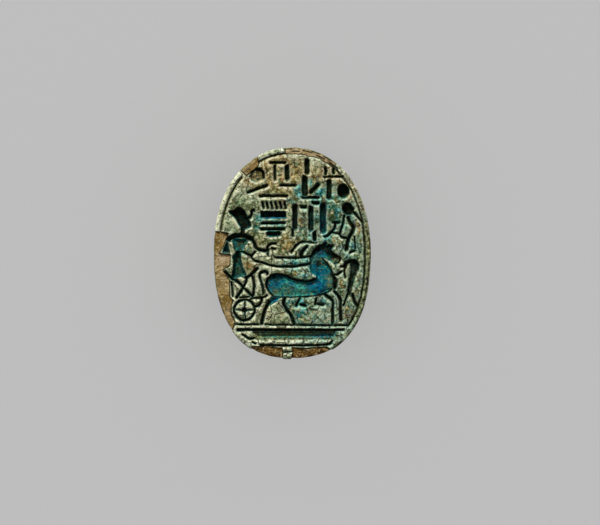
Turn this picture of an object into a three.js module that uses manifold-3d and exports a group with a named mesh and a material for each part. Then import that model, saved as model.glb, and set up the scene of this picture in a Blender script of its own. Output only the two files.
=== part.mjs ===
// Scarab amulet: one piece of glazed steatite, about 20 mm long, carved as a beetle on its back
// and as a sunk seal design on its flat base. It lies on its domed back, with the base up.
// Millimetres. +Z out of the base, +Y towards the beetle's head, origin under the middle of the part.

import * as THREE from 'three';
import { mergeVertices } from 'three/addons/utils/BufferGeometryUtils.js';
import Module from 'manifold-3d';

const wasm = await Module();
wasm.setup();

// ---------- driving dimensions ----------
const LENGTH = 20.2;            // head to tail
const WIDTH = 15.0;             // across the widest place
const HEIGHT = 8.7;             // flat spot on the back to the carved base
const HEAD_SQUARENESS = 2.15;   // exponent of the outline at the head end
const TAIL_SQUARENESS = 2.4;    // the tail end is blunter
const PLATE_BOTTOM = 6.95;      // underside of the base plate
const LEG_BAND_BOTTOM = 4.7;    // where the legs' band meets the edge of the wing cases
const LEG_BAND_INSET = 0.92;    // the band's outline against the base's
const LEG_RADIUS = 0.74;
const DOME_REACH = 0.97;        // the wing cases' edge against the base's
const FLAT_SPOT = 0.25;         // the flat spot's outline against the base's
const PERFORATION_DIAMETER = 1.6;
const PERFORATION_HEIGHT = 4.9;
const BACK_LINE_RADIUS = 0.22;
const BORDER_INSET = 0.6;       // the border line lies this far inside the base's edge
const BORDER_WIDTH = 0.16;
const LINE_DEPTH = 0.28;        // thin lines
const STROKE_DEPTH = 0.45;      // limbs, rows of strokes and harness
const FIGURE_DEPTH = 0.6;       // filled bodies, and the line round the horse
const HORSE_DEPTH = 0.3;        // the horse's body inside that line
const PIT_DEPTH = 0.8;
const CHIP_DEPTH = 0.3;         // where glaze and skin have broken away
const TOOL_TOP = 1.0;           // cutting shapes stand this far above the base
const OUTLINE_STEPS = 56;
const ROUND_SIDES = 8;

// ---------- solids ----------
function toSolid(geometry) {
  const bare = geometry.clone();
  bare.deleteAttribute('normal');
  bare.deleteAttribute('uv');
  const merged = mergeVertices(bare, 1e-5);
  const index = merged.index.array;
  const triangles = [];
  for (let i = 0; i < index.length; i += 3) {
    const [a, b, c] = [index[i], index[i + 1], index[i + 2]];
    if (a !== b && b !== c && c !== a) triangles.push(a, b, c);
  }
  return new wasm.Manifold(new wasm.Mesh({
    numProp: 3,
    vertProperties: new Float32Array(merged.attributes.position.array),
    triVerts: new Uint32Array(triangles),
  }));
}

function toGeometry(solid) {
  const mesh = solid.getMesh();
  const geometry = new THREE.BufferGeometry();
  geometry.setAttribute('position', new THREE.BufferAttribute(mesh.vertProperties, mesh.numProp));
  geometry.setIndex(new THREE.BufferAttribute(mesh.triVerts, 1));
  geometry.computeVertexNormals();
  return geometry;
}

function joined(solids) {
  return solids.reduce((whole, piece) => whole.add(piece));
}

// ---------- outline of the base ----------
// Distance from the middle to the base's edge in direction (x, y).
function edgeRadius(x, y) {
  const squareness = y > 0 ? HEAD_SQUARENESS : TAIL_SQUARENESS;
  const size = Math.hypot(x, y);
  const across = Math.abs(x / size) / (WIDTH / 2);
  const along = Math.abs(y / size) / (LENGTH / 2);
  return (across ** squareness + along ** squareness) ** (-1 / squareness);
}

// Point on the outline at an angle from +X, pulled in by a distance.
function edgePoint(degrees, inset = 0) {
  const angle = THREE.MathUtils.degToRad(degrees);
  const radius = edgeRadius(Math.cos(angle), Math.sin(angle)) - inset;
  return [radius * Math.cos(angle), radius * Math.sin(angle)];
}

// ---------- the beetle ----------
// A lathe profile of unit radius, stretched to the outline: back, wing cases' edge, leg band, base plate.
function beetleBody() {
  const profile = [new THREE.Vector2(0, 0)];
  const domeSteps = 7;
  for (let i = 0; i <= domeSteps; i += 1) {
    const radius = FLAT_SPOT + (DOME_REACH - FLAT_SPOT) * Math.sin((i / domeSteps) * Math.PI / 2);
    const rise = (1 - Math.cos((i / domeSteps) * Math.PI / 2)) * LEG_BAND_BOTTOM;
    profile.push(new THREE.Vector2(radius, rise));
  }
  profile.push(
    new THREE.Vector2(LEG_BAND_INSET, LEG_BAND_BOTTOM + 0.3),
    new THREE.Vector2(LEG_BAND_INSET, PLATE_BOTTOM - 0.25),
    new THREE.Vector2(0.985, PLATE_BOTTOM),
    new THREE.Vector2(1, PLATE_BOTTOM + 0.5),
    new THREE.Vector2(1, HEIGHT - 0.4),
    new THREE.Vector2(0.965, HEIGHT),
    new THREE.Vector2(0, HEIGHT),
  );
  const geometry = new THREE.LatheGeometry(profile, OUTLINE_STEPS);
  geometry.rotateX(Math.PI / 2);
  const position = geometry.attributes.position;
  for (let i = 0; i < position.count; i += 1) {
    const [x, y, z] = [position.getX(i), position.getY(i), position.getZ(i)];
    const radius = Math.hypot(x, y);
    const stretch = radius > 1e-6 ? edgeRadius(x, y) : 0;
    position.setXYZ(i, x * stretch, y * stretch, z);
  }
  return toSolid(geometry);
}

// A round bar through points, for a leg, a carved line or a hole.
function bar(points, radius, steps) {
  const path = new THREE.CatmullRomCurve3(points.map((point) => new THREE.Vector3(...point)));
  const section = new THREE.Shape();
  section.absarc(0, 0, radius, 0, Math.PI * 2);
  const options = { extrudePath: path, steps, curveSegments: ROUND_SIDES / 2 };
  return toSolid(new THREE.ExtrudeGeometry(section, options));
}

// Three legs on each side, lying in the band under the base plate.
function legs() {
  const middle = (PLATE_BOTTOM + LEG_BAND_BOTTOM) / 2;
  const reach = LEG_BAND_INSET - 0.05;
  const runs = [
    { from: 26, to: 74, lift: [-0.55, 0.2, 0.45] },
    { from: 17, to: -19, lift: [-0.55, 0, 0.5] },
    { from: -25, to: -76, lift: [-0.55, 0.15, 0.45] },
  ];
  const pieces = [];
  for (const side of [1, -1]) {
    for (const { from, to, lift } of runs) {
      const points = lift.map((rise, i) => {
        const [x, y] = edgePoint(from + ((to - from) * i) / (lift.length - 1));
        return [side * x * reach, y * reach, middle + rise];
      });
      pieces.push(bar(points, LEG_RADIUS, 6));
    }
  }
  return joined(pieces);
}

// Height of the back's surface at a place, from the same dome as the lathe profile.
function backHeight(x, y) {
  const size = Math.hypot(x, y);
  const radius = size > 0 ? size / edgeRadius(x, y) : 0;
  const share = THREE.MathUtils.clamp((radius - FLAT_SPOT) / (DOME_REACH - FLAT_SPOT), 0, 0.999);
  return (1 - Math.sqrt(1 - share * share)) * LEG_BAND_BOTTOM;
}

// Lines of the wing cases, the thorax and the head, cut into the back, and notches in the head's edge.
function backLines() {
  const onBack = (x, y) => [x, y, backHeight(x, y)];
  const arc = (y, bow, reach) => Array.from({ length: 11 }, (_, i) => i / 5 - 1)
    .map((share) => onBack(share * reach, y - bow * share * share));
  const thoraxLine = bar(arc(3.4, -0.4, 6.5), BACK_LINE_RADIUS, 16);
  const headLine = bar(arc(6.6, -1.0, 4.3), BACK_LINE_RADIUS * 1.2, 14);
  const wingLine = bar([3.2, 1, -1, -3, -5, -7, -8.5, -9.4].map((y) => onBack(0, y)), BACK_LINE_RADIUS, 14);
  const notches = [78, 86, 94, 102].map((degrees) => {
    const [x, y] = edgePoint(degrees, 0.1);
    return bar([[x, y, LEG_BAND_BOTTOM - 1.6], [x, y, LEG_BAND_BOTTOM + 0.1]], BACK_LINE_RADIUS, 1);
  });
  return joined([thoraxLine, headLine, wingLine, ...notches]);
}

function perforation() {
  const hole = new THREE.CylinderGeometry(
    PERFORATION_DIAMETER / 2, PERFORATION_DIAMETER / 2, LENGTH + 2, ROUND_SIDES + 2);
  hole.translate(0, 0, PERFORATION_HEIGHT);
  return toSolid(hole);
}

// ---------- cutting shapes for the base ----------
function prism(shape, depth) {
  const geometry = new THREE.ExtrudeGeometry(shape, {
    depth: depth + TOOL_TOP, bevelEnabled: false, curveSegments: ROUND_SIDES,
  });
  geometry.translate(0, 0, HEIGHT - depth);
  return toSolid(geometry);
}

function hullOf(points) {
  const sorted = [...points].sort((a, b) => a.x - b.x || a.y - b.y);
  const half = (run) => {
    const chain = [];
    for (const point of run) {
      while (chain.length > 1) {
        const [a, b] = chain.slice(-2);
        if ((b.x - a.x) * (point.y - a.y) - (b.y - a.y) * (point.x - a.x) > 1e-9) break;
        chain.pop();
      }
      chain.push(point);
    }
    return chain.slice(0, -1);
  };
  return [...half(sorted), ...half(sorted.reverse())];
}

function ringOfPoints([x, y], radius) {
  return Array.from({ length: ROUND_SIDES }, (_, i) => {
    const angle = ((i + 0.5) / ROUND_SIDES) * Math.PI * 2;
    return new THREE.Vector2(x + radius * Math.cos(angle), y + radius * Math.sin(angle));
  });
}

// A stroke along points, as wide at its start and end as given.
function stroke(points, startWidth, endWidth = startWidth, depth = STROKE_DEPTH) {
  const pieces = [];
  const last = points.length - 1;
  const radiusAt = (i) => (startWidth + ((endWidth - startWidth) * i) / last) / 2;
  for (let i = 0; i < last; i += 1) {
    const ends = [i, i + 1].flatMap((end) => ringOfPoints(points[end], radiusAt(end)));
    pieces.push(prism(new THREE.Shape(hullOf(ends)), depth));
  }
  return joined(pieces);
}

const line = (points, width = 0.17) => stroke(points, width, width, LINE_DEPTH);

// A sunk area with straight edges between its corners.
function pocket(corners, depth = FIGURE_DEPTH) {
  return prism(new THREE.Shape(corners.map(([x, y]) => new THREE.Vector2(x, y))), depth);
}

// Points along a closed flowing edge through a few given ones.
function flowingEdge(points, divisions) {
  const edge = new THREE.CatmullRomCurve3(points.map(([x, y]) => new THREE.Vector3(x, y, 0)), true);
  return edge.getPoints(divisions).slice(0, -1).map(({ x, y }) => [x, y]);
}

function disc(x, y, radius, depth = STROKE_DEPTH) {
  const shape = new THREE.Shape();
  shape.absarc(x, y, radius, 0, Math.PI * 2);
  return prism(shape, depth);
}

// ---------- the seal design ----------
function borderLines() {
  const arc = (from, to) => {
    const steps = Math.ceil(Math.abs(to - from) / 7);
    const degreesAt = (i) => from + ((to - from) * i) / steps;
    return Array.from({ length: steps + 1 }, (_, i) => edgePoint(degreesAt(i), BORDER_INSET));
  };
  return [
    line(arc(68, -52), BORDER_WIDTH),
    line(arc(166, 122), BORDER_WIDTH),
    line(arc(110, 93), BORDER_WIDTH),
  ];
}

function groundLines() {
  return [
    line([[-5.5, -6.75], [-3.2, -6.8]]),
    line([[-2.6, -6.8], [5.3, -6.9]]),
    stroke([[-5.2, -7.3], [4.9, -7.3]], 0.2),
    stroke([[-2.4, -7.75], [3.3, -7.75]], 0.6, 0.6, LINE_DEPTH),
    stroke([[-3.0, -8.75], [3.2, -8.72], [3.8, -8.4]], 0.2),
    stroke([[-4.7, -7.75], [-4.1, -8.15], [-3.6, -8.05]], 0.2),
  ];
}

function horse() {
  const body = flowingEdge([
    [-2.1, -2.3], [-1.2, -2.05], [0.2, -2.5], [1.6, -2.65], [1.85, -1.8], [1.75, -0.5], [2.4, 0.55], [3.2, 0.9],
    [3.8, 0.35], [4.5, -0.45], [4.1, -0.95], [3.1, -0.45], [3.0, -0.9], [3.7, -1.6], [3.95, -2.9], [3.3, -3.7],
    [1.0, -4.08], [-1.2, -4.1], [-2.2, -3.7], [-2.45, -2.9],
  ], 34);
  return [
    pocket(body, HORSE_DEPTH),
    stroke([...body, body[0]], 0.24, 0.24, FIGURE_DEPTH),
    stroke([[-2.35, -1.95], [-2.7, -1.8], [-3.05, -2.2], [-2.8, -3.2], [-2.75, -3.9]], 0.23),
    pocket([[-2.0, -4.15], [-1.1, -4.15], [-1.6, -4.6], [-2.35, -5.0]], STROKE_DEPTH),
    stroke([[-2.2, -4.7], [-2.6, -5.6], [-2.9, -6.7]], 0.32),
    stroke([[-0.8, -4.15], [-0.85, -4.8], [-0.1, -6.0], [0.25, -6.75]], 0.3),
    stroke([[3.1, -3.9], [3.8, -4.5], [3.85, -6.7]], 0.28),
    stroke([[4.0, -3.6], [4.55, -4.45], [4.65, -6.5]], 0.27),
    stroke([[3.95, -2.3], [4.15, -2.8], [4.0, -3.3]], 0.35),
    line([[0.75, -4.1], [0.4, -5.0]], 0.25),
    line([[2.35, -4.1], [2.2, -4.9]], 0.25),
  ];
}

function harness() {
  return [
    line([[-1.6, -0.4], [0.5, -0.45], [1.8, -0.3]]),
    line([[-3.6, -0.7], [-2.0, -1.15], [0, -1.25], [1.75, -1.05]]),
    stroke([[-0.05, 0.15], [0.5, 0.85], [1.3, 1.05], [2.3, 1.0]], 0.28, 0.12),
    stroke([[0.9, -0.4], [0.9, 0], [1.4, 0.65]], 0.35),
  ];
}

function driver() {
  const crown = flowingEdge([
    [-6.0, 3.95], [-5.2, 4.32], [-4.5, 4.0], [-4.0, 2.9], [-4.05, 2.4], [-4.75, 2.3], [-5.4, 3.4],
  ], 16);
  return [
    pocket(crown),
    stroke([[-4.72, 2.5], [-4.72, 1.7]], 0.34),
    stroke([[-4.3, 3.35], [-3.95, 3.45], [-3.65, 4.1]], 0.2),
    stroke([[-6.0, 1.45], [-5.0, 1.6], [-3.9, 1.4]], 0.4),
    pocket([[-6.15, 1.35], [-5.95, 0.05], [-6.6, 0.1], [-6.5, 0.5]], STROKE_DEPTH),
    pocket([[-5.65, 1.25], [-5.4, 0.3], [-4.9, 0.05], [-4.05, 1.2]]),
    stroke([[-4.0, 1.4], [-3.45, 0.6], [-2.3, 0.3]], 0.32),
    stroke([[-2.3, 0.3], [-2.2, 0.8], [-1.6, 0.95]], 0.2),
    stroke([[-5.2, 0.15], [-4.4, 0], [-3.6, -0.7]], 0.2),
    pocket([[-5.35, 0.3], [-5.5, -0.6], [-5.74, -2.4], [-4.4, -2.15], [-4.9, 0.25]]),
  ];
}

function chariot() {
  const wheel = { x: -4.55, y: -5.4, radius: 0.98, rim: 0.2, hub: 0.24 };
  const rim = new THREE.Shape();
  rim.absarc(wheel.x, wheel.y, wheel.radius + wheel.rim / 2, 0, Math.PI * 2);
  const inside = new THREE.Path();
  inside.absarc(wheel.x, wheel.y, wheel.radius - wheel.rim / 2, 0, Math.PI * 2, true);
  rim.holes.push(inside);
  const spokes = [0, 90, 180, 270].map((degrees) => {
    const angle = THREE.MathUtils.degToRad(degrees);
    const end = [wheel.x + wheel.radius * Math.cos(angle), wheel.y + wheel.radius * Math.sin(angle)];
    return line([[wheel.x, wheel.y], end], 0.13);
  });
  return [
    prism(rim, STROKE_DEPTH),
    disc(wheel.x, wheel.y, wheel.hub),
    ...spokes,
    stroke([[-6.3, -1.8], [-5.2, -2.75], [-3.8, -4.15]], 0.25),
    stroke([[-3.3, -1.45], [-4.2, -2.25], [-4.5, -3.0], [-5.3, -4.2]], 0.26),
    stroke([[-5.8, -2.5], [-5.65, -4.1]], 0.18),
    stroke([[-3.8, -2.2], [-3.6, -3.1], [-3.7, -4.0]], 0.24),
    stroke([[-4.0, -4.4], [-2.4, -4.1]], 0.18),
    stroke([[-2.9, -4.3], [-3.5, -5.1]], 0.2),
  ];
}

function enemies() {
  return [
    disc(5.3, 4.15, 0.5),
    stroke([[5.6, 3.9], [6.2, 3.5], [6.7, 2.8]], 0.25, 0.12),
    stroke([[4.95, 3.7], [4.75, 2.6], [4.6, 1.75], [5.2, 1.45]], 0.22),
    stroke([[5.3, 3.4], [5.75, 2.4], [5.4, 1.5], [5.15, 0.35]], 0.35),
    stroke([[5.15, 0.1], [6.0, 0.3]], 0.22),
    stroke([[4.2, 2.85], [4.0, 2.3], [3.1, 1.6]], 0.25),
    stroke([[3.8, 2.0], [4.5, 1.8]], 0.2),
    stroke([[5.1, -1.2], [5.3, -0.8], [6.0, -0.85], [6.15, -1.5]], 0.4),
    stroke([[5.8, -1.0], [5.85, -1.8], [5.6, -2.8], [5.45, -3.85]], 0.68, 0.42),
    stroke([[5.05, -1.2], [4.95, -2.3]], 0.16),
    stroke([[5.35, -3.8], [4.9, -4.95]], 0.2),
    stroke([[5.7, -3.9], [6.1, -4.95]], 0.28),
  ];
}

// Rows of plain separate strokes above the figures: bars, uprights and leaning strokes that spell nothing.
function strokeRows() {
  const cuts = [
    stroke([[-3.5, 7.25], [-3.1, 7.5]], 1.1, 1.1, LINE_DEPTH),
    stroke([[4.85, 6.0], [4.85, 5.8]], 1.15, 1.15, PIT_DEPTH),
    stroke([[-4.2, 5.75], [-2.4, 6.4]], 0.28),
    stroke([[2.45, 6.5], [1.8, 5.75]], 0.36),
  ];
  const bars = [
    { y: 8.57, from: -2.05, to: -0.7, width: 0.27 },
    { y: 7.27, from: 3.05, to: 4.8, width: 0.22 },
    { y: 6.45, from: -1.1, to: 0.3, width: 0.26 },
    { y: 5.42, from: -3.05, to: -0.5, width: 0.26 },
    { y: 5.3, from: 1.0, to: 2.5, width: 0.24 },
    { y: 4.78, from: 2.0, to: 2.45, width: 0.32 },
    { y: 4.4, from: 0.9, to: 1.25, width: 0.34 },
    { y: 3.67, from: -2.75, to: -0.85, width: 0.64 },
    { y: 2.87, from: -2.9, to: -0.75, width: 0.24 },
    { y: 2.3, from: -2.9, to: -0.75, width: 0.3 },
    { y: 1.86, from: -2.2, to: -1.35, width: 0.52 },
  ];
  for (const { y, from, to, width } of bars) {
    cuts.push(stroke([[from, y], [to, y]], width));
  }
  const uprights = [
    { x: 1.4, top: 8.75, foot: 7.65, width: 0.46 },
    { x: -1.65, top: 8.3, foot: 7.0, width: 0.28 },
    { x: -0.5, top: 8.2, foot: 7.1, width: 0.38 },
    { x: 3.15, top: 8.05, foot: 7.55, width: 0.3 },
    { x: 3.9, top: 8.0, foot: 7.55, width: 0.3 },
    { x: 1.2, top: 7.15, foot: 5.65, width: 0.54 },
    { x: 3.5, top: 6.85, foot: 5.3, width: 0.46 },
    { x: 2.92, top: 4.5, foot: 2.2, width: 0.54 },
    { x: 0.25, top: 4.45, foot: 2.5, width: 0.48 },
    { x: 1.75, top: 4.25, foot: 2.3, width: 0.48 },
    { x: 0.05, top: 2.25, foot: 1.65, width: 0.3 },
    { x: 2.12, top: 1.9, foot: 1.3, width: 0.38 },
  ];
  for (const { x, top, foot, width } of uprights) {
    cuts.push(stroke([[x, top], [x, foot]], width));
  }
  for (let count = 0; count < 6; count += 1) {
    const x = -2.85 + count * 0.42;
    cuts.push(stroke([[x, 4.8], [x + 0.14, 4.28]], 0.24));
  }
  return cuts;
}

// Shallow breaks at the rim where the glazed skin is gone.
function chips() {
  const rim = (degrees) => edgePoint(degrees, -0.5);
  return [
    pocket([
      rim(164), [-6.3, 2.0], [-5.85, 1.9], [-6.55, 0.5], [-5.9, -0.05], [-5.9, -1.15], [-6.45, -1.65],
      [-5.95, -2.5], [-5.7, -4.4], [-5.7, -5.9], [-5.5, -6.9], rim(232), rim(218), rim(200), rim(182),
    ], CHIP_DEPTH),
    pocket([[-4.1, 7.6], [-3.05, 8.4], rim(111), rim(121)], CHIP_DEPTH),
    pocket([rim(96), [-0.7, 9.35], [1.2, 9.2], [2.9, 9.2], rim(76), rim(86)], CHIP_DEPTH),
    pocket([rim(247), [-3.6, -8.75], [2.9, -8.8], rim(288), rim(275), rim(260)], CHIP_DEPTH),
  ];
}

// ---------- the part ----------
const beetle = beetleBody().add(legs()).subtract(backLines()).subtract(perforation());
const design = joined([
  ...borderLines(),
  ...groundLines(),
  ...horse(),
  ...harness(),
  ...driver(),
  ...chariot(),
  ...enemies(),
  ...strokeRows(),
  ...chips(),
]);

const glazedSteatite = new THREE.MeshStandardMaterial({ color: 0x8b9c80, roughness: 0.42, metalness: 0 });

const scarab = new THREE.Mesh(toGeometry(beetle.subtract(design)), glazedSteatite);
scarab.name = 'scarab';

const part = new THREE.Group();
part.add(scarab);

export default part;
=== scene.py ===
"""Scarab amulet: glazed steatite, lying on its back with the carved base up.

Sizes are in millimetres in the frame's own axes, and become metres when the mesh is made.
"""

import math

import bmesh
import bpy
import numpy as np
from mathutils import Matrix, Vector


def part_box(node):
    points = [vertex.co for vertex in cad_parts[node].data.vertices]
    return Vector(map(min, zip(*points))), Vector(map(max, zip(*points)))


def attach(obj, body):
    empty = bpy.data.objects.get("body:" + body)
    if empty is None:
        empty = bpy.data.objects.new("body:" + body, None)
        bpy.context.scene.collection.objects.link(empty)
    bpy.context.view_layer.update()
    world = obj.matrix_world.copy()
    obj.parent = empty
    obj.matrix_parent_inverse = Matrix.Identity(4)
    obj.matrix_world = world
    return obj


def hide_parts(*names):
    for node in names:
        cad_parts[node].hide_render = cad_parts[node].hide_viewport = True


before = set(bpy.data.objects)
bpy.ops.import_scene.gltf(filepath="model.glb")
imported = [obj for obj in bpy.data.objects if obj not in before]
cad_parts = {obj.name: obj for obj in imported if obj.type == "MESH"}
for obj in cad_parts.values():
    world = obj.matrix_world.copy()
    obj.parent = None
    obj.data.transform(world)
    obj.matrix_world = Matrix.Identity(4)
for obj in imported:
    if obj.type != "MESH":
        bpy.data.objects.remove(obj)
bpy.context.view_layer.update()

MM = 0.001
FAR = 1e3

# ---------- the amulet's form, as the solid has it ----------
low, high = (np.array(corner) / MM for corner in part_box("scarab"))
WIDTH, LENGTH, HEIGHT = high - low
MEAN_RADIUS = (LENGTH + WIDTH) / 4
HEAD_SQUARENESS = 2.15
TAIL_SQUARENESS = 2.4
RIM_ROUNDING = 0.34
PLATE_BOTTOM = 6.95
LEG_BAND_TOP = 6.7
LEG_BAND_BOTTOM = 4.7
LEG_BAND_SHARE = 0.92
LEG_RADIUS = 0.74
LEG_RISE = 0.062
DOME_REACH = 0.97
FLAT_SPOT = 0.25
PERFORATION_DIAMETER = 1.6
PERFORATION_HEIGHT = 4.9
BORDER_INSET = 0.6
BACK_LINE_DEPTH = 0.22

# Each leg: where it starts and ends round the side, in degrees, and its lift at both ends and the middle.
LEGS = ((26, 74, (-0.55, 0.2, 0.45)), (17, -19, (-0.55, 0, 0.5)), (-25, -76, (-0.55, 0.15, 0.45)))
SIDE_PER_DEGREE = 0.14

# ---------- how finely the skin is meshed ----------
FACE_ACROSS = 216
FACE_ALONG = 288
FACE_SHARE = 0.962
DOME_ROWS = 52
TOP_REACH = 0.4

# ---------- where the skin lies on its flat map ----------
BAKE_MAP = "OFBake"
FACE_DISC = (0.335, 0.445, 0.0425)
BACK_DISC = (0.832, 0.22, 0.0165)
SIDE_STRIP = (0.895, 0.1)
BORE_PATCH = (0.68, 0.3, 0.47, 0.4)


# ---------- plain helpers ----------
def smooth_step(start, end, value):
    share = np.clip((value - start) / (end - start), 0.0, 1.0)
    return share * share * (3 - 2 * share)


def edge_radius(angle):
    """Distance from the middle to the base's edge, in the direction of an angle in radians."""
    squareness = np.where(np.sin(angle) > 0, HEAD_SQUARENESS, TAIL_SQUARENESS)
    across = np.abs(np.cos(angle)) / (WIDTH / 2)
    along = np.abs(np.sin(angle)) / (LENGTH / 2)
    return (across**squareness + along**squareness) ** (-1 / squareness)


def edge_point(degrees, inset):
    angle = math.radians(degrees)
    radius = float(edge_radius(angle)) - inset
    return (radius * math.cos(angle), radius * math.sin(angle))


def edge_arc(start, end, inset, count):
    """Points along the edge, from one angle in degrees to another."""
    return [edge_point(degrees, inset) for degrees in np.linspace(start, end, count)]


def soft_noise(x, y, size, seed):
    """Smooth noise from -1 to 1 with bumps about as wide as size."""
    lattice = np.random.default_rng(seed).uniform(-1, 1, (64, 64))
    column, row = x / size + 200, y / size + 200
    left, below = np.floor(column).astype(int), np.floor(row).astype(int)
    across, up = smooth_step(0, 1, column - left), smooth_step(0, 1, row - below)

    def corner(i, j):
        return lattice[(below + j) % 64, (left + i) % 64]

    lower = corner(0, 0) * (1 - across) + corner(1, 0) * across
    upper = corner(0, 1) * (1 - across) + corner(1, 1) * across
    return lower * (1 - up) + upper * up


def layered_noise(x, y, size, seed):
    total = sum(soft_noise(x, y, size / 2**k, seed + k) / 2**k for k in range(3))
    return total / 1.75


def flowing(points, closed=False, steps=5):
    """A smooth curve through a few points."""
    points = [np.array(point, float) for point in points]
    count = len(points)
    result = []
    for i in range(count if closed else count - 1):
        if closed:
            a, b, c, d = (points[(i + k) % count] for k in (-1, 0, 1, 2))
        else:
            a, b = points[max(i - 1, 0)], points[i]
            c, d = points[i + 1], points[min(i + 2, count - 1)]
        for t in np.arange(steps) / steps:
            result.append(
                0.5 * (2 * b + (c - a) * t + (2 * a - 5 * b + 4 * c - d) * t**2
                       + (3 * b - a - 3 * c + d) * t**3)
            )
    if not closed:
        result.append(points[-1])
    return result


def stroke_distance(x, y, points, start_width, end_width):
    """Distance to the side of a stroke along points, negative inside it."""
    best = np.full(x.shape, FAR)
    last = len(points) - 1
    for i in range(last):
        (ax, ay), (bx, by) = points[i], points[i + 1]
        dx, dy = bx - ax, by - ay
        along = np.clip(((x - ax) * dx + (y - ay) * dy) / max(dx * dx + dy * dy, 1e-9), 0, 1)
        half = (start_width + (end_width - start_width) * (i + along) / last) / 2
        best = np.minimum(best, np.hypot(x - ax - along * dx, y - ay - along * dy) - half)
    return best


def area_distance(x, y, corners):
    """Distance to the edge of a closed outline, negative inside it."""
    ring = list(corners) + [corners[0]]
    distance = stroke_distance(x, y, ring, 0, 0)
    inside = np.zeros(x.shape, bool)
    for (ax, ay), (bx, by) in zip(ring[:-1], ring[1:]):
        if ay == by:
            continue
        crosses = (ay > y) != (by > y)
        inside ^= crosses & (x < ax + (y - ay) * (bx - ax) / (by - ay))
    return np.where(inside, -distance, distance)


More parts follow.
